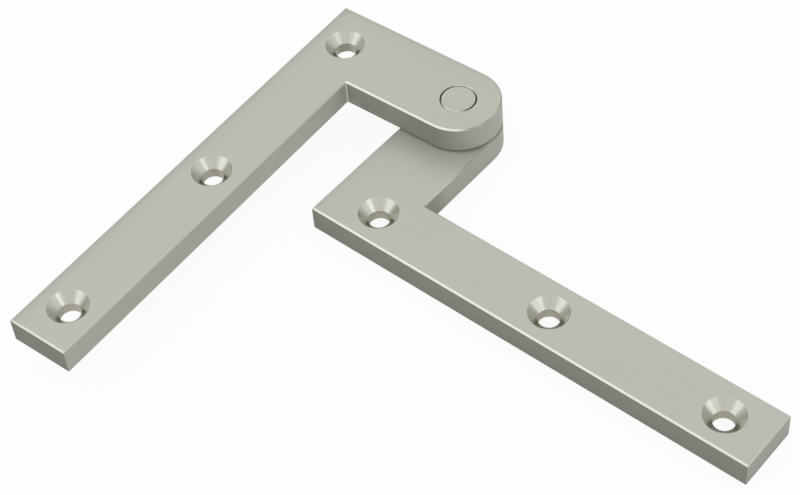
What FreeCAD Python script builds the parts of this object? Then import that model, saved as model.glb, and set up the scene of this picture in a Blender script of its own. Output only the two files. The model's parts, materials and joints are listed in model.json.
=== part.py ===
import FreeCAD, Part
import Sketcher
import math
import os

# Offset pivot hinge: two flat cranked leaves that turn about one flush, headed pin.
# Millimetres. +Z is up, the Z axis is the pivot axis, Z = 0 is the underside of the lower leaf,
# and the long arm of the lower leaf runs along +X.

SIZES = {
    # outline of both leaves
    "leaf_length": 111.0,         # corner to square end, along the long arm
    "arm_width": 15.0,            # across the long arm
    "pivot_offset": 39.0,         # pivot axis to the outer edge of the long arm
    "knuckle_radius": 9.6,        # round end of the crank, and half the crank's width
    "leaf_thickness": 6.6,
    "edge_chamfer": 0.35,         # round both faces of a leaf
    "inner_corner_radius": 0.4,   # in the angle between crank and long arm
    "lower_heading": 90.0,        # the lower leaf, turned until its long arm runs along +X
    "opening_angle": 87.5,        # between the long arms, 0 with the leaves stacked
    # screw holes along the middle of the long arm, countersunk alike from both faces
    "screw_hole_diameter": 4.8,
    "countersink_diameter": 9.0,
    "countersink_angle": 90.0,
    "upper_first_hole": 9.8,      # hole centre to the corner edge of the leaf
    "upper_middle_hole": 56.4,    # hole centre to the corner edge of the leaf
    "upper_last_hole": 9.4,       # hole centre to the square end
    "lower_first_hole": 12.5,
    "lower_middle_hole": 58.0,
    "lower_last_hole": 10.3,
    # pivot
    "pin_diameter": 6.0,
    "head_diameter": 7.9,
    "head_depth": 2.2,
    "head_clearance": 0.1,        # radial, pin's head to counterbore
    "head_break": 0.2,            # chamfer round the head, the inner side of the groove that shows
    "mouth_break": 0.12,          # chamfer round the counterbore's mouth, the groove's outer side
    "rivet_flare": 0.7,           # the pin's tail, spread into its countersink
    "rivet_angle": 90.0,
    "running_clearance": 0.05,    # radial, pin's shank to upper leaf
    "axial_play": 0.05,           # under the head
    "washer_thickness": 0.5,      # this is also the gap between the leaves
    "washer_inset": 2.6,          # rim of the knuckle to rim of the washer
    "washer_clearance": 0.1,      # radial, pin to washer
}

# Each of these is worked out from the sizes above, in a cell of its own.
DERIVED = {
    "hinge_height": "2 * leaf_thickness + washer_thickness",
    "upper_level": "leaf_thickness + washer_thickness",
    "pin_radius": "pin_diameter / 2",
    "head_radius": "head_diameter / 2",
    "head_level": "hinge_height - head_depth",
    "bore_diameter": "pin_diameter + 2 * running_clearance",
    "counterbore_diameter": "head_diameter + 2 * head_clearance",
    "counterbore_depth": "head_depth + axial_play",
    "rivet_level": "rivet_flare / tan( rivet_angle * 1 deg / 2 )",
    "rivet_diameter": "pin_diameter + 2 * rivet_flare",
    "washer_radius": "knuckle_radius - washer_inset",
    "washer_hole_radius": "pin_radius + washer_clearance",
}

START, END, CENTRE = 1, 2, 3    # points of a sketched line or arc
ORIGIN = (-1, 1)                # the sketch's own origin
NEAR = 1e-4                     # two places this close are the same

doc = FreeCAD.newDocument("pivot_hinge")
sheet = doc.addObject("Spreadsheet::Sheet", "Sizes")
cells = list(SIZES.items()) + [(alias, "=" + formula) for alias, formula in DERIVED.items()]
for row, (alias, content) in enumerate(cells, start=1):
    sheet.set(f"A{row}", alias)
    sheet.set(f"B{row}", str(content))
    sheet.setAlias(f"B{row}", alias)
doc.recompute()


# Helpers


def bound(expression):
    """The expression with each alias pointed at the sheet."""
    words = expression.split(" ")
    return " ".join("Sizes." + word if word in SIZES or word in DERIVED else word for word in words)


def bind(item, prop, expression):
    item.setExpression(prop, bound(expression))


def new_body(label):
    body = doc.addObject("PartDesign::Body", label)
    body.Label = label
    return body


def origin_item(body, role):
    return next(item for item in body.Origin.OriginFeatures if item.Role == role)


def new_sketch(body, name, plane="XY_Plane", level="0"):
    """A sketch on one of the body's own origin planes, lifted to a level."""
    sketch = body.newObject("Sketcher::SketchObject", name)
    sketch.AttachmentSupport = [(origin_item(body, plane), "")]
    sketch.MapMode = "FlatFace"
    bind(sketch, "AttachmentOffset.Base.z", level)
    return sketch


def dimension(sketch, name, expression, kind, *ends):
    """A named dimension of a sketch, bound to the sheet."""
    value = sheet.evalExpression(expression)
    index = sketch.addConstraint(Sketcher.Constraint(kind, *ends, value))
    sketch.renameConstraint(index, name)
    bind(sketch, f"Constraints.{name}", expression)


def add_line(sketch, start, end):
    return sketch.addGeometry(Part.LineSegment(FreeCAD.Vector(*start), FreeCAD.Vector(*end)), False)


def add_circle(sketch, name, radius, centre=ORIGIN):
    """A circle round the origin, or round another point of the sketch."""
    value = sheet.evalExpression(radius)
    circle = sketch.addGeometry(Part.Circle(FreeCAD.Vector(), FreeCAD.Vector(0, 0, 1), value), False)
    if centre:
        sketch.addConstraint(Sketcher.Constraint("Coincident", circle, CENTRE, *centre))
    dimension(sketch, name, radius, "Radius", circle)
    return circle


def join(sketch, lines):
    """Closes a chain of lines end to start."""
    for line, following in zip(lines, lines[1:] + lines[:1]):
        sketch.addConstraint(Sketcher.Constraint("Coincident", line, END, following, START))


def flat_edges(shape, level, radius=None):
    """Names of the edges that lie flat at a level, all of them or the circle of one radius."""
    names = []
    for number, edge in enumerate(shape.Edges, start=1):
        flat = max(abs(edge.BoundBox.ZMin - level), abs(edge.BoundBox.ZMax - level)) < NEAR
        curve = edge.Curve
        fits = radius is None or (isinstance(curve, Part.Circle) and abs(curve.Radius - radius) < NEAR)
        if flat and fits:
            names.append(f"Edge{number}")
    return names


def upright_edge(shape, x, y):
    """Name of the straight upright edge that stands at one place."""
    for number, edge in enumerate(shape.Edges, start=1):
        box = edge.BoundBox
        if max(abs(box.XMin - x), abs(box.XMax - x), abs(box.YMin - y), abs(box.YMax - y)) < NEAR:
            return f"Edge{number}"
    raise ValueError("no upright edge there")


def break_edges(body, name, base, edges, width):
    """A chamfer on named edges of the feature before it."""
    chamfer = body.newObject("PartDesign::Chamfer", name)
    chamfer.Base = (base, edges)
    bind(chamfer, "Size", width)
    doc.recompute()
    return chamfer


def drill(body, name, sketch, diameter, cut=None, upward=False, **cut_sizes):
    """A through hole, with a counterbore or countersink where one is named."""
    doc.recompute()
    hole = body.newObject("PartDesign::Hole", name)
    hole.Profile = sketch
    doc.recompute()
    hole.Reversed = upward
    hole.DepthType = "ThroughAll"
    bind(hole, "Diameter", diameter)
    if cut:
        hole.HoleCutType = cut
        hole.HoleCutCustomValues = True
    for prop, expression in cut_sizes.items():
        bind(hole, prop, expression)
    doc.recompute()
    return hole


# Leaves. Each is drawn with its pivot at the origin, the crank towards -X and the long arm towards -Y.


def leaf_blank(body):
    """The flat cranked bar: square corner, square end, round knuckle, all edges broken."""
    value = sheet.evalExpression
    corner_x = -value("pivot_offset")
    inner_x = corner_x + value("arm_width")
    side = value("knuckle_radius")
    end_y = side - value("leaf_length")
    thickness = value("leaf_thickness")

    sketch = new_sketch(body, body.Label + "_outline")
    crank_outer = add_line(sketch, (corner_x, side), (0, side))
    circle = Part.Circle(FreeCAD.Vector(), FreeCAD.Vector(0, 0, 1), side)
    knuckle = sketch.addGeometry(Part.ArcOfCircle(circle, -math.pi / 2, math.pi / 2), False)
    crank_inner = add_line(sketch, (0, -side), (inner_x, -side))
    arm_inner = add_line(sketch, (inner_x, -side), (inner_x, end_y))
    square_end = add_line(sketch, (inner_x, end_y), (corner_x, end_y))
    arm_outer = add_line(sketch, (corner_x, end_y), (corner_x, side))
    for constraint in (
        Sketcher.Constraint("Coincident", knuckle, CENTRE, *ORIGIN),
        Sketcher.Constraint("Tangent", crank_outer, END, knuckle, END),
        Sketcher.Constraint("Tangent", knuckle, START, crank_inner, START),
        Sketcher.Constraint("Coincident", crank_inner, END, arm_inner, START),
        Sketcher.Constraint("Coincident", arm_inner, END, square_end, START),
        Sketcher.Constraint("Coincident", square_end, END, arm_outer, START),
        Sketcher.Constraint("Coincident", arm_outer, END, crank_outer, START),
        Sketcher.Constraint("Horizontal", crank_outer),
        Sketcher.Constraint("Horizontal", crank_inner),
        Sketcher.Constraint("Horizontal", square_end),
        Sketcher.Constraint("Vertical", arm_inner),
        Sketcher.Constraint("Vertical", arm_outer),
    ):
        sketch.addConstraint(constraint)
    dimension(sketch, "knuckle", "knuckle_radius", "Radius", knuckle)
    dimension(sketch, "offset", "pivot_offset", "DistanceX", crank_outer, START, *ORIGIN)
    dimension(sketch, "width", "arm_width", "DistanceX", square_end, END, square_end, START)
    dimension(sketch, "length", "leaf_length", "DistanceY", arm_outer, START, arm_outer, END)

    pad = body.newObject("PartDesign::Pad", body.Label + "_plate")
    pad.Profile = sketch
    bind(pad, "Length", "leaf_thickness")
    doc.recompute()

    fillet = body.newObject("PartDesign::Fillet", body.Label + "_inner_corner")
    fillet.Base = (pad, [upright_edge(pad.Shape, inner_x, -side)])
    bind(fillet, "Radius", "inner_corner_radius")
    doc.recompute()

    rims = flat_edges(fillet.Shape, 0) + flat_edges(fillet.Shape, thickness)
    return break_edges(body, body.Label + "_edges", fillet, rims, "edge_chamfer")


def screw_holes(body, row):
    """Three holes down the middle of the long arm, countersunk from the top and from underneath."""
    places = {
        "first": f"knuckle_radius - {row}_first_hole",
        "middle": f"knuckle_radius - {row}_middle_hole",
        "last": f"knuckle_radius - leaf_length + {row}_last_hole",
    }
    for face, level, upward in (("top", "leaf_thickness", False), ("underside", "0", True)):
        sketch = new_sketch(body, f"{body.Label}_{face}_screw_places", level=level)
        for name, along in places.items():
            circle = add_circle(sketch, name, "screw_hole_diameter / 2", centre=None)
            across = "pivot_offset - arm_width / 2"
            dimension(sketch, name + "_across", across, "DistanceX", circle, CENTRE, *ORIGIN)
            dimension(sketch, name + "_along", along, "DistanceY", *ORIGIN, circle, CENTRE)
        drill(
            body, f"{body.Label}_{face}_screw_holes", sketch, "screw_hole_diameter",
            cut="Countersink", upward=upward,
            HoleCutDiameter="countersink_diameter", HoleCutCountersinkAngle="countersink_angle",
        )


def lower_leaf():
    """Lies on the surface. The pin is fixed in it, its tail spread into a countersink underneath."""
    body = new_body("lower_leaf")
    leaf_blank(body)
    screw_holes(body, "lower")
    seat = new_sketch(body, "lower_leaf_pin_place")
    add_circle(seat, "pin", "pin_radius")
    drill(
        body, "lower_leaf_pin_hole", seat, "pin_diameter", cut="Countersink", upward=True,
        HoleCutDiameter="rivet_diameter", HoleCutCountersinkAngle="rivet_angle",
    )
    bind(body, "Placement.Rotation.Angle", "lower_heading * 1 deg")
    return body


def upper_leaf():
    """Turns on the pin: a plain bore, and a counterbore that takes the flush head."""
    body = new_body("upper_leaf")
    leaf_blank(body)
    screw_holes(body, "upper")
    seat = new_sketch(body, "upper_leaf_pin_place", level="leaf_thickness")
    add_circle(seat, "bore", "bore_diameter / 2")
    bore = drill(
        body, "upper_leaf_pin_bore", seat, "bore_diameter", cut="Counterbore",
        HoleCutDiameter="counterbore_diameter", HoleCutDepth="counterbore_depth",
    )
    mouth = flat_edges(
        bore.Shape, sheet.evalExpression("leaf_thickness"), sheet.evalExpression("counterbore_diameter / 2")
    )
    break_edges(body, "upper_leaf_bore_rim", bore, mouth, "mouth_break")
    bind(body, "Placement.Base.z", "upper_level")
    bind(body, "Placement.Rotation.Angle", "( lower_heading - opening_angle ) * 1 deg")
    return body


# Pivot


def pivot_pin():
    """Turned in one piece, from the spread tail at Z = 0 up to the flush head."""
    body = new_body("pivot_pin")
    places = {
        "tail": ("rivet_diameter / 2", "0"),
        "flare": ("pin_radius", "rivet_level"),
        "neck": ("pin_radius", "head_level"),
        "shoulder": ("head_radius", "head_level"),
        "rim": ("head_radius", "hinge_height - head_break"),
        "face": ("head_radius - head_break", "hinge_height"),
    }
    value = sheet.evalExpression
    corners = [(0, 0)] + [(value(x), value(z)) for x, z in places.values()] + [(0, value("hinge_height"))]
    sketch = new_sketch(body, "pivot_pin_profile", "XZ_Plane")
    lines = [add_line(sketch, a, b) for a, b in zip(corners, corners[1:] + corners[:1])]
    join(sketch, lines)
    sketch.addConstraint(Sketcher.Constraint("Coincident", lines[0], START, *ORIGIN))
    sketch.addConstraint(Sketcher.Constraint("Horizontal", lines[0]))
    sketch.addConstraint(Sketcher.Constraint("Vertical", lines[-1]))
    sketch.addConstraint(Sketcher.Constraint("Horizontal", lines[-2]))
    for line, (name, (x, z)) in zip(lines, places.items()):
        dimension(sketch, name + "_radius", x, "DistanceX", *ORIGIN, line, END)
        if z != "0":
            dimension(sketch, name + "_level", z, "DistanceY", *ORIGIN, line, END)
    turning = body.newObject("PartDesign::Revolution", "pivot_pin_turning")
    turning.Profile = sketch
    turning.ReferenceAxis = (sketch, ["V_Axis"])
    return body


def thrust_washer():
    """Keeps the two leaves apart, round the pin."""
    body = new_body("thrust_washer")
    sketch = new_sketch(body, "thrust_washer_rings")
    add_circle(sketch, "rim", "washer_radius")
    add_circle(sketch, "hole", "washer_hole_radius")
    disc = body.newObject("PartDesign::Pad", "thrust_washer_disc")
    disc.Profile = sketch
    bind(disc, "Length", "washer_thickness")
    bind(body, "Placement.Base.z", "leaf_thickness")
    return body


# Build, check and write


def check(bodies):
    """Stops on any failed feature, on a hole that cut nothing, and on a bad solid."""
    for item in doc.Objects:
        if "Invalid" in item.State or "Error" in item.State:
            raise RuntimeError(f"{item.Name} failed: {item.State}")
        if item.TypeId == "PartDesign::Hole" and item.Shape.Volume >= item.BaseFeature.Shape.Volume:
            raise RuntimeError(f"{item.Name} removed nothing")
    for body in bodies:
        if body.Shape.isNull() or not body.Shape.isValid() or len(body.Shape.Solids) != 1:
            raise RuntimeError(f"{body.Label} is not one valid solid")


pieces = [lower_leaf(), upper_leaf(), pivot_pin(), thrust_washer()]
doc.recompute()
check(pieces)
os.makedirs("parts", exist_ok=True)
for piece in pieces:
    piece.Shape.exportStep(f"parts/{piece.Label}.step")
    box = piece.Shape.BoundBox
    print(piece.Label, round(piece.Shape.Volume, 1), "mm3,", [round(v, 2) for v in (
        box.XMin, box.YMin, box.ZMin, box.XMax, box.YMax, box.ZMax)])
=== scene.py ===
import bpy
import json
import math
from mathutils import Matrix, Vector


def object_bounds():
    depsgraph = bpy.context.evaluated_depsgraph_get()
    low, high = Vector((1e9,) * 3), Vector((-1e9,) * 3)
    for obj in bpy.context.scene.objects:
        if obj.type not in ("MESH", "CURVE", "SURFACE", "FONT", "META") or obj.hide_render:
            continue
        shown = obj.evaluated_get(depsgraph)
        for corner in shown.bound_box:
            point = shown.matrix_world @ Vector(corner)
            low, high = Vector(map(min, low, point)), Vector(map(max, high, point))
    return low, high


# Pivot hinge in satin nickel on a plain pale floor. Metres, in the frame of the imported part:
# +Z is the pivot axis, the lower leaf's long arm runs along +X and the upper leaf's towards -Y.

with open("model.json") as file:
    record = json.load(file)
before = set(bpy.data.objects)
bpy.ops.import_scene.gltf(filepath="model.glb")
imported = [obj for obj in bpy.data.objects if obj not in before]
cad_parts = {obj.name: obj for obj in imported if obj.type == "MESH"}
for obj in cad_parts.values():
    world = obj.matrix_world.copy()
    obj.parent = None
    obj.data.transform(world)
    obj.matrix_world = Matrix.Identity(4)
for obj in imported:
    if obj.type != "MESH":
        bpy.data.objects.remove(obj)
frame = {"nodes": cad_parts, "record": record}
cad_low, cad_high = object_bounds()

# Camera, solved from the straight edges of the two leaves
IMAGE_WIDTH = 800
SENSOR_WIDTH = 36.0
FOCAL_PIXELS = 2052.2
CAMERA_PLACE = Vector((0.208202, -0.239632, 0.334499))
CAMERA_TARGET = Vector((0.013085, -0.036556, 0.007))
CAMERA_ROLL = math.radians(-5.5576)
CLIP_NEAR = 0.01
CLIP_FAR = 20.0

# Light
WHITE = (1.0, 1.0, 1.0, 1.0)
SKY_LOW = 0.5                # near the horizon
SKY_HIGH = 0.92
SKY_RISE = (0.12, 0.45)      # upward part of the direction over which the sky brightens
FLOOR_SIZE = 6.0
FLOOR_COLOUR = (0.93, 0.93, 0.93, 1.0)
FLOOR_RISE = 0.00002         # keeps the floor and the underside out of one plane
FLOOR_GLOW = 0.92            # share of the floor's white that no shadow takes away, to the camera
MIRROR_GLOW = 0.25           # the same for the floor as the metal mirrors it
GLOW_LEVEL = 1.0
LAMP_DISTANCE = 1.2
# Soft boxes: azimuth, elevation, width, height in degrees, and level
LAMPS = {
    "key": (-165, 42, 40, 30, 0.35),
    "front": (-122, 27, 40, 24, 0.52),
    "side": (20, 20, 30, 10, 1.0),
    "near_side": (0, 38, 22, 10, 1.2),
}

# Metal, linear colours. The plating in the photo is even. The tones that differ by side and place
# follow the photo's light and shade, stand for no wear, and stay with the metal as a leaf turns.
NICKEL = (0.52, 0.52, 0.458)             # faces; on chamfers that face +X away from the pivot it is painted light
PAINTED_HIGHLIGHT_NICKEL = (0.68, 0.68, 0.62)       # chamfers that face -Y, also in the groove round the pin's head: painted highlight
KNUCKLE_HIGHLIGHT_NICKEL = (0.88, 0.88, 0.81)        # the same round the knuckle: a brighter painted highlight
KNUCKLE_SHADE_NICKEL = (0.31, 0.31, 0.271)     # chamfers that face +X near the pivot: painted shade
CHAMFER_SHADE_NICKEL = (0.37, 0.37, 0.325)      # the other chamfers, darker than the faces: painted shade
GROOVE_SHADE_NICKEL = (0.10, 0.10, 0.085)      # in the groove round the pin's head, darkest: painted shade
CUT_NICKEL = (0.56, 0.56, 0.50)          # countersinks
SIDE_WALL_SHADE_NICKEL = (0.405, 0.403, 0.35)       # walls that face along X, darker than the faces: painted shade
INNER_WALL_LIGHT_NICKEL = (0.53, 0.527, 0.46)       # the upper arm's inner wall near the crank: painted light
FILLET_HIGHLIGHT_NICKEL = (0.75, 0.75, 0.69)       # in the fillet of the upper leaf's inner corner: painted highlight
# By leaf: walls that face along Y and the square end, both painted shade; the crank's inner wall by the
# inner corner, painted shade on the lower leaf and painted light on the upper; and the bores of the screw
# holes, painted light on the lower leaf
FRONT_WALL_SHADE_NICKEL = {"lower": (0.225, 0.223, 0.186), "upper": (0.3, 0.298, 0.25)}
END_SHADE_NICKEL = {"lower": (0.345, 0.343, 0.298), "upper": (0.175, 0.174, 0.14)}
CREASE_SHADE_AND_LIGHT_NICKEL = {"lower": (0.312, 0.31, 0.268), "upper": (0.385, 0.382, 0.325)}
BORE_NICKEL = {"lower": (0.67, 0.652, 0.54), "upper": (0.52, 0.506, 0.42)}
BRONZE = (0.47, 0.33, 0.16)
TARNISH = (0.36, 0.25, 0.13)
SATIN = 0.3                  # metal share of the plating's look on faces and walls
FACE_ROUGHNESS = 0.36
WALL_ROUGHNESS = 0.42
BREAK_ROUGHNESS = 0.28       # on chamfers
CUT_ROUGHNESS = 0.24
BORE_ROUGHNESS = 0.30

# Parts of the normal over which one finish, or one painted tone, gives way to another
WALL_TILT = (0.3, 0.6)       # upwards: from wall to chamfer or face
BREAK_TILT = (0.75, 0.9)     # upwards: from chamfer to face
BRIGHT_TILT = (0.37, 0.62)   # along -Y: from other chamfers to the painted highlight
GROOVE_TILT = (0.25, 0.6)    # the same in the groove round the pin's head: from painted shade to painted highlight
ROUND_TILT = (0.03, 0.25)    # along +X, of a chamfer with the painted highlight: from a straight edge to the brighter one round the knuckle
SIDE_BREAK_TILT = (0.3, 0.6)  # along +X: from other chamfers to side ones, painted light and, near the pivot, painted shade
KNUCKLE_TILT = {"lower": (-0.6, -0.3), "upper": (-0.15, 0.15)}     # along -Y: from plain ones to the painted shade
SIDE_TILT = (0.05, 0.7)      # along X, of a wall: from the front walls' painted shade to the side walls' lighter one
INNER_TILT = (0.2, 0.6)      # towards the inner corner's open side: from other walls to its two
CORNER_TILT = (0.15, 0.5)    # the same both ways at once: to its fillet
END_TILT = 0.9               # along the arm: the square end

# Places on a leaf
FLAT = (1.0, 1.0, 0.0)       # keeps X and Y of a place and drops Z
BORE_RADIUS = 0.00245
COUNTERSINK_RADIUS = 0.0045
GROOVE_RADIUS = 0.0043       # the pivot axis to just outside the counterbore's chamfer
KNUCKLE_REACH = {"lower": (0.0125, 0.019), "upper": (0.0098, 0.0112)}     # from the pivot axis
HALF_ARM = 0.0075
CORNER_HOLE = {"lower": 0.0125, "upper": 0.0098}     # its centre to the crank's back edge
END_REACH = 0.0088           # the last hole's centre to just short of the square end
CRANK_REACH = 0.0125         # along the arm from the pivot, to past the crank's inner wall
CREASE_REACH = {"lower": (0.0155, 0.021), "upper": (0.0185, 0.023)}     # outward, on that wall
ARM_START = 0.02             # outward from the pivot, to short of the arm's inner wall
INNER_REACH = (0.022, 0.062)     # along the arm, over which that wall's painted light fades
# Painted shade: the colour falls by a share at the arm's outer edge and at the crank's back edge
EDGE_SHADE_SHARES = {"lower": (0.0, 0.15), "upper": (0.27, 0.18)}
EDGE_SHADE_REACH = 0.00105

# Grain: lines per metre along and across the brushing, depth in metres, and how much it tints
GRAIN_ALONG = 45.0
GRAIN_ACROSS = 1900.0
GRAIN_DEPTH = 0.000004
GRAIN_TINT = 0.035
GRAIN_GLOSS = 0.05
GRAIN_DETAIL = 2.0
CLOUD_SCALE = 55.0
CLOUD_TINT = 0.02
CLOUD_DETAIL = 3.0
CHATTER_LOBES = 7.0          # radial streaks that the countersink leaves
CHATTER_TINT = 0.16
TURN_PITCH = 0.00022         # rings that a tool leaves round a bore or on the pin's head
TURN_DEPTH = 0.000003
TURN_TINT = 0.04

# The mix node's sockets by data type: the share, the first and second input, and the output
MIX_SOCKETS = {"FLOAT": (0, 2, 3, 0), "VECTOR": (0, 4, 5, 1), "RGBA": (0, 6, 7, 2)}


# Camera and light


def add_camera():
    """Looks at a point of the hinge's mid plane, with a small roll."""
    data = bpy.data.cameras.new("camera")
    data.sensor_width = SENSOR_WIDTH
    data.lens = FOCAL_PIXELS / IMAGE_WIDTH * SENSOR_WIDTH
    data.clip_start = CLIP_NEAR
    data.clip_end = CLIP_FAR
    camera = bpy.data.objects.new("camera", data)
    bpy.context.scene.collection.objects.link(camera)
    level = (CAMERA_TARGET - CAMERA_PLACE).to_track_quat("-Z", "Y").to_matrix()
    turn = level @ Matrix.Rotation(CAMERA_ROLL, 3, "Z")
    camera.matrix_world = Matrix.Translation(CAMERA_PLACE) @ turn.to_4x4()
    bpy.context.scene.camera = camera


def direction(azimuth, elevation):
    """Unit vector. Azimuth 0 is +X and 90 is +Y, in degrees."""
    a = math.radians(azimuth)
    e = math.radians(elevation)
    return Vector((math.cos(a) * math.cos(e), math.sin(a) * math.cos(e), math.sin(e)))


def soft_box(name, azimuth, elevation, width, height, level):
    """A rectangular lamp far from the hinge that faces it. Width and height are angles, in degrees."""
    data = bpy.data.lights.new(name, "AREA")
    data.shape = "RECTANGLE"
    data.size = 2 * LAMP_DISTANCE * math.tan(math.radians(width) / 2)
    data.size_y = 2 * LAMP_DISTANCE * math.tan(math.radians(height) / 2)
    data.energy = level * math.pi * data.size * data.size_y
    lamp = bpy.data.objects.new(name, data)
    bpy.context.scene.collection.objects.link(lamp)
    towards = direction(azimuth, elevation)
    lamp.location = (cad_low + cad_high) / 2 + towards * LAMP_DISTANCE
    lamp.rotation_mode = "QUATERNION"
    lamp.rotation_quaternion = towards.to_track_quat("Z", "Y")


# Node helpers


def new_material(name):
    material = bpy.data.materials.new(name)
    material.use_nodes = True
    return material, material.node_tree, material.node_tree.nodes["Principled BSDF"]


def node(tree, kind, inputs=(), **settings):
    """A node with its settings, and its inputs given as values or as sockets of other nodes."""
    made = tree.nodes.new(kind)
    for key, value in settings.items():
        setattr(made, key, value)
    for slot, value in enumerate(inputs):
        if isinstance(value, bpy.types.NodeSocket):
            tree.links.new(value, made.inputs[slot])
        elif value is not None:
            made.inputs[slot].default_value = value
    return made


def maths(tree, operation, *inputs):
    return node(tree, "ShaderNodeMath", inputs, operation=operation).outputs[0]


def product(tree, first, second):
    return maths(tree, "MULTIPLY", first, second)


def remainder(tree, share):
    """What a share leaves of 1."""
    return maths(tree, "SUBTRACT", 1.0, share)


def step(tree, value, start, end):
    """0 below start, 1 above end, smooth between."""
    inputs = (value, start, end, 0.0, 1.0)
    return node(tree, "ShaderNodeMapRange", inputs, interpolation_type="SMOOTHSTEP").outputs[0]


def vector_maths(tree, operation, *inputs):
    made = node(tree, "ShaderNodeVectorMath", inputs, operation=operation)
    return made.outputs["Value" if operation in ("DOT_PRODUCT", "LENGTH") else "Vector"]


def dot(tree, first, second):
    return vector_maths(tree, "DOT_PRODUCT", first, second)


def scaled(tree, vector, gain):
    return vector_maths(tree, "SCALE", vector, None, None, gain)


def parts(tree, vector):
    """The X, Y and Z of a vector."""
    return node(tree, "ShaderNodeSeparateXYZ", (vector,)).outputs


def mix(tree, kind, share, first, second):
    """The first input at a share of 0, the second at 1."""
    made = node(tree, "ShaderNodeMix", data_type=kind)
    *slots, result = MIX_SOCKETS[kind]
    for slot, value in zip(slots, (share, first, second)):
        if isinstance(value, bpy.types.NodeSocket):
            tree.links.new(value, made.inputs[slot])
        elif isinstance(value, tuple):
            made.inputs[slot].default_value = (*value, 1.0)
        else:
            made.inputs[slot].default_value = value
    return made.outputs[result]


def mix_colour(tree, share, first, second):
    return mix(tree, "RGBA", share, first, second)


def mix_value(tree, share, first, second):
    return mix(tree, "FLOAT", share, first, second)


def tint(tree, colour, pattern, amount):
    """Lightens and darkens a colour by a pattern that runs from 0 to 1."""
    return scaled(tree, colour, maths(tree, "MULTIPLY_ADD", pattern, amount, 1.0 - amount / 2))


def noise(tree, vector, detail=GRAIN_DETAIL):
    made = tree.nodes.new("ShaderNodeTexNoise")
    tree.links.new(vector, made.inputs["Vector"])
    made.inputs["Scale"].default_value = 1.0
    made.inputs["Detail"].default_value = detail
    return made.outputs["Fac"]


def raise_surface(tree, shader, height, depth):
    """Bump from a height pattern of 0 to 1 and its depth in metres."""
    bump = tree.nodes.new("ShaderNodeBump")
    bump.inputs["Strength"].default_value = 1.0
    bump.inputs["Distance"].default_value = depth
    tree.links.new(height, bump.inputs["Height"])
    tree.links.new(bump.outputs["Normal"], shader.inputs["Normal"])


# Places and patterns


def surface(tree):
    """Place and normal of the surface in the piece's own frame."""
    outputs = node(tree, "ShaderNodeTexCoord").outputs
    return outputs["Object"], outputs["Normal"]


def from_axis(tree, place):
    """Distance from the pivot axis."""
    return vector_maths(tree, "LENGTH", vector_maths(tree, "MULTIPLY", place, FLAT))


def screw_places(leaf):
    """Centres of a leaf's screw holes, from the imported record, corner hole first."""
    mounts = {mount["name"]: mount["pos_m"] for mount in frame["record"]["mounts"]}
    return [Vector(mounts[f"{leaf}_screw_{place}"]) for place in ("corner", "middle", "end")]


def leaf_axes(holes):
    """Directions along the long arm, and outward to it from the pivot."""
    along = (holes[2] - holes[0]).normalized()
    corner = Vector((holes[0].x, holes[0].y, 0.0))
    return along, (corner - along * corner.dot(along)).normalized()


def nearest_hole(tree, place, holes):
    """Flat offset from the nearest hole's centre, and its length."""
    flat = vector_maths(tree, "MULTIPLY", place, FLAT)
    offset, *others = [vector_maths(tree, "SUBTRACT", flat, (hole.x, hole.y, 0.0)) for hole in holes]
    for other in others:
        length = vector_maths(tree, "LENGTH", other)
        nearer = maths(tree, "LESS_THAN", length, vector_maths(tree, "LENGTH", offset))
        offset = mix(tree, "VECTOR", nearer, offset, other)
    return offset, vector_maths(tree, "LENGTH", offset)


def brushed(tree, place, along):
    """Fine lines along one direction, 0 to 1."""
    across = Vector((-along.y, along.x, 0.0))
    lengthwise = product(tree, dot(tree, place, along), GRAIN_ALONG)
    sideways = product(tree, dot(tree, place, across), GRAIN_ACROSS)
    height = product(tree, parts(tree, place)[2], GRAIN_ACROSS)
    return noise(tree, node(tree, "ShaderNodeCombineXYZ", (lengthwise, sideways, height)).outputs[0])


def clouds(tree, place):
    """Slow variation of the finish, 0 to 1."""
    return noise(tree, vector_maths(tree, "MULTIPLY", place, (CLOUD_SCALE,) * 3), CLOUD_DETAIL)


def rings(tree, distance):
    """Fine turned rings, 0 to 1."""
    turns = product(tree, distance, math.tau / TURN_PITCH)
    return maths(tree, "MULTIPLY_ADD", maths(tree, "SINE", turns), 0.5, 0.5)


# Materials


def dull_edge(tree, leaf, place):
    """Painted shade: a gain on the colour, below 1 near the arm's outer edge and the crank's back edge."""
    holes = screw_places(leaf)
    along, outward = leaf_axes(holes)
    outer = maths(tree, "SUBTRACT", outward.dot(holes[0]) + HALF_ARM, dot(tree, place, outward))
    back = maths(tree, "SUBTRACT", dot(tree, place, along), along.dot(holes[0]) - CORNER_HOLE[leaf])
    gain = 1.0
    for distance, share in zip((outer, back), EDGE_SHADE_SHARES[leaf]):
        fall = maths(tree, "EXPONENT", product(tree, distance, -1.0 / EDGE_SHADE_REACH))
        gain = maths(tree, "MULTIPLY_ADD", fall, -share, gain)
    return gain


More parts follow.
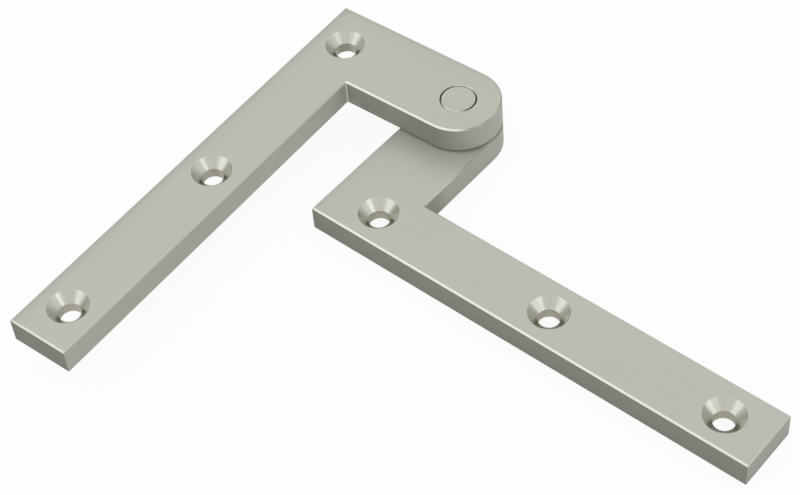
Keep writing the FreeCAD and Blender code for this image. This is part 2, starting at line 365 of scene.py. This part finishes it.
def inner_walls(tree, leaf, place, normal, wall):
    """Changes a wall's colour by the inner corner: painted shade on the lower leaf's crank wall and painted
    light on the upper's; on the upper leaf also painted light along the arm and a painted highlight in the
    fillet.
    """
    along, outward = leaf_axes(screw_places(leaf))
    ahead = dot(tree, normal, along)
    reach = dot(tree, place, along)
    out = dot(tree, place, outward)
    in_crank = maths(tree, "LESS_THAN", reach, CRANK_REACH)
    crease = product(tree, step(tree, ahead, *INNER_TILT), in_crank)
    crease = product(tree, step(tree, out, *CREASE_REACH[leaf]), crease)
    wall = mix_colour(tree, crease, wall, CREASE_SHADE_AND_LIGHT_NICKEL[leaf])
    if leaf == "lower":
        return wall
    inward = product(tree, dot(tree, normal, outward), -1.0)
    in_arm = maths(tree, "GREATER_THAN", out, ARM_START)
    near = product(tree, step(tree, inward, *INNER_TILT), remainder(tree, step(tree, reach, *INNER_REACH)))
    wall = mix_colour(tree, product(tree, near, in_arm), wall, INNER_WALL_LIGHT_NICKEL)
    fillet = product(tree, step(tree, inward, *CORNER_TILT), step(tree, ahead, *CORNER_TILT))
    return mix_colour(tree, product(tree, fillet, in_arm), wall, FILLET_HIGHLIGHT_NICKEL)


def wall_colour(tree, leaf, place, normal):
    """Walls, most of them darker than the faces as painted shade, more where they face along Y, with their
    own painted shade at the square end.
    """
    holes = screw_places(leaf)
    along = leaf_axes(holes)[0]
    sideways = step(tree, maths(tree, "ABSOLUTE", parts(tree, normal)[0]), *SIDE_TILT)
    wall = mix_colour(tree, sideways, FRONT_WALL_SHADE_NICKEL[leaf], SIDE_WALL_SHADE_NICKEL)
    at_end = maths(tree, "GREATER_THAN", dot(tree, place, along), along.dot(holes[2]) + END_REACH)
    faces_end = maths(tree, "GREATER_THAN", dot(tree, normal, along), END_TILT)
    wall = mix_colour(tree, product(tree, at_end, faces_end), wall, END_SHADE_NICKEL[leaf])
    return inner_walls(tree, leaf, place, normal, wall)


def groove_colour(tree, forward):
    """Chamfers of the groove round the pin's head: painted shade, and a painted highlight where they face
    -Y.
    """
    return mix_colour(tree, step(tree, forward, *GROOVE_TILT), GROOVE_SHADE_NICKEL, PAINTED_HIGHLIGHT_NICKEL)


def chamfer_colour(tree, leaf, place, normal):
    """Painted highlight where it faces -Y, brightest round the knuckle. Where it faces +X, the face's colour
    as painted light, and painted shade near the pivot. Painted shade elsewhere and in the groove.
    """
    facing = parts(tree, normal)
    forward = product(tree, facing[1], -1.0)
    distance = from_axis(tree, place)
    by_pivot = remainder(tree, step(tree, distance, *KNUCKLE_REACH[leaf]))
    # Painted shade on chamfers that face +X near the pivot
    dull = product(tree, step(tree, forward, *KNUCKLE_TILT[leaf]), by_pivot)
    side = mix_colour(tree, dull, NICKEL, KNUCKLE_SHADE_NICKEL)
    plain = mix_colour(tree, step(tree, facing[0], *SIDE_BREAK_TILT), CHAMFER_SHADE_NICKEL, side)
    # Painted highlight on chamfers that face -Y, brighter round the knuckle
    bright = mix_colour(tree, step(tree, facing[0], *ROUND_TILT), PAINTED_HIGHLIGHT_NICKEL, KNUCKLE_HIGHLIGHT_NICKEL)
    edge = mix_colour(tree, step(tree, forward, *BRIGHT_TILT), plain, bright)
    in_groove = maths(tree, "LESS_THAN", distance, GROOVE_RADIUS)
    return mix_colour(tree, in_groove, edge, groove_colour(tree, forward))


def cut_colour(tree, leaf, offset, in_bore):
    """Countersinks and bores, with radial chatter marks; the lower leaf's bores lighter, painted light."""
    around = vector_maths(tree, "MULTIPLY", vector_maths(tree, "NORMALIZE", offset), (CHATTER_LOBES,) * 3)
    metal = mix_colour(tree, in_bore, CUT_NICKEL, BORE_NICKEL[leaf])
    return tint(tree, metal, noise(tree, around), CHATTER_TINT)


def leaf_metal(leaf):
    """Satin nickel: brushed faces and walls, and chamfers and countersinks that are all metal."""
    material, tree, shader = new_material(f"satin_nickel_{leaf}")
    holes = screw_places(leaf)
    place, normal = surface(tree)
    true_normal = node(tree, "ShaderNodeNewGeometry").outputs["True Normal"]
    upward = maths(tree, "ABSOLUTE", parts(tree, true_normal)[2])
    off_wall = step(tree, upward, *WALL_TILT)
    flat = step(tree, upward, *BREAK_TILT)
    offset, radius = nearest_hole(tree, place, holes)
    in_hole = maths(tree, "LESS_THAN", radius, COUNTERSINK_RADIUS)
    in_bore = maths(tree, "LESS_THAN", radius, BORE_RADIUS)

    # Chamfer and wall colours carry painted highlights, light and shade, and the gain below darkens two
    # edges as painted shade
    metal = mix_colour(tree, flat, chamfer_colour(tree, leaf, place, normal), NICKEL)
    metal = mix_colour(tree, off_wall, wall_colour(tree, leaf, place, normal), metal)
    metal = scaled(tree, metal, dull_edge(tree, leaf, place))
    grain = brushed(tree, place, leaf_axes(holes)[0])
    metal = tint(tree, metal, grain, GRAIN_TINT)
    metal = tint(tree, metal, clouds(tree, place), CLOUD_TINT)
    metal = mix_colour(tree, in_hole, metal, cut_colour(tree, leaf, offset, in_bore))
    tree.links.new(metal, shader.inputs["Base Color"])
    all_metal = maths(tree, "MAXIMUM", in_hole, product(tree, off_wall, remainder(tree, flat)))
    tree.links.new(mix_value(tree, all_metal, SATIN, 1.0), shader.inputs["Metallic"])

    rough = mix_value(tree, flat, BREAK_ROUGHNESS, FACE_ROUGHNESS)
    rough = mix_value(tree, off_wall, WALL_ROUGHNESS, rough)
    rough = maths(tree, "MULTIPLY_ADD", grain, GRAIN_GLOSS, rough)
    rough = mix_value(tree, in_hole, rough, mix_value(tree, in_bore, CUT_ROUGHNESS, BORE_ROUGHNESS))
    tree.links.new(rough, shader.inputs["Roughness"])
    raise_surface(tree, shader, mix_value(tree, in_hole, grain, rings(tree, radius)), GRAIN_DEPTH)
    return material


def pin_metal():
    """The same finish on turned metal: faint rings round the axis."""
    material, tree, shader = new_material("satin_nickel_pin")
    place, normal = surface(tree)
    facing = parts(tree, normal)
    flat = step(tree, facing[2], *BREAK_TILT)
    turned = rings(tree, from_axis(tree, place))
    # The pin's chamfers take the groove's painted shade and painted highlight
    metal = mix_colour(tree, flat, groove_colour(tree, product(tree, facing[1], -1.0)), NICKEL)
    metal = tint(tree, metal, turned, TURN_TINT)
    metal = tint(tree, metal, clouds(tree, place), CLOUD_TINT)
    tree.links.new(metal, shader.inputs["Base Color"])
    tree.links.new(mix_value(tree, flat, 1.0, SATIN), shader.inputs["Metallic"])
    rough = maths(tree, "MULTIPLY_ADD", turned, GRAIN_GLOSS, FACE_ROUGHNESS)
    tree.links.new(rough, shader.inputs["Roughness"])
    raise_surface(tree, shader, turned, TURN_DEPTH)
    return material


def washer_metal():
    """Plain bronze strip, rolled one way and slightly tarnished."""
    material, tree, shader = new_material("bronze_washer")
    place = surface(tree)[0]
    grain = brushed(tree, place, Vector((1.0, 0.0, 0.0)))
    metal = mix_colour(tree, clouds(tree, place), BRONZE, TARNISH)
    metal = tint(tree, metal, grain, GRAIN_TINT)
    tree.links.new(metal, shader.inputs["Base Color"])
    shader.inputs["Metallic"].default_value = 1.0
    rough = maths(tree, "MULTIPLY_ADD", grain, GRAIN_GLOSS, FACE_ROUGHNESS)
    tree.links.new(rough, shader.inputs["Roughness"])
    raise_surface(tree, shader, grain, GRAIN_DEPTH)
    return material


# World, floor and pieces


def add_world():
    """A soft white sky, a little darker near the horizon. Seen directly it is plain white."""
    world = bpy.data.worlds.new("studio")
    bpy.context.scene.world = world
    world.use_nodes = True
    tree = world.node_tree
    towards = node(tree, "ShaderNodeTexCoord").outputs["Generated"]
    level = mix_value(tree, step(tree, parts(tree, towards)[2], *SKY_RISE), SKY_LOW, SKY_HIGH)
    level = mix_value(tree, node(tree, "ShaderNodeLightPath").outputs["Is Camera Ray"], level, 1.0)
    tree.links.new(level, tree.nodes["Background"].inputs["Strength"])
    tree.nodes["Background"].inputs["Color"].default_value = WHITE


def add_floor():
    """Pale and matt. It also glows, mostly to the camera, so that its shadow stays faint."""
    bpy.ops.mesh.primitive_plane_add(size=FLOOR_SIZE, location=(0, 0, cad_low.z + FLOOR_RISE))
    floor = bpy.context.object
    floor.name = "floor"
    material = bpy.data.materials.new("floor")
    material.use_nodes = True
    tree = material.node_tree
    tree.nodes.clear()
    matt = node(tree, "ShaderNodeBsdfDiffuse", (FLOOR_COLOUR,)).outputs[0]
    glow = node(tree, "ShaderNodeEmission", (WHITE, GLOW_LEVEL)).outputs[0]
    rays = node(tree, "ShaderNodeLightPath").outputs
    mirrored = maths(tree, "MAXIMUM", rays["Is Glossy Ray"], rays["Is Transmission Ray"])
    share = product(tree, rays["Is Camera Ray"], FLOOR_GLOW)
    share = maths(tree, "MULTIPLY_ADD", mirrored, MIRROR_GLOW, share)
    mixed = node(tree, "ShaderNodeMixShader", (share, matt, glow)).outputs[0]
    node(tree, "ShaderNodeOutputMaterial", (mixed,))
    floor.data.materials.append(material)


def dress(name, material):
    mesh = frame["nodes"][name].data
    mesh.materials.clear()
    mesh.materials.append(material)


add_camera()
add_world()
add_floor()
for lamp, setting in LAMPS.items():
    soft_box(lamp, *setting)

dress("lower_leaf", leaf_metal("lower"))
dress("upper_leaf", leaf_metal("upper"))
dress("pivot_pin", pin_metal())
dress("thrust_washer", washer_metal())

bpy.context.scene.view_settings.view_transform = "Standard"
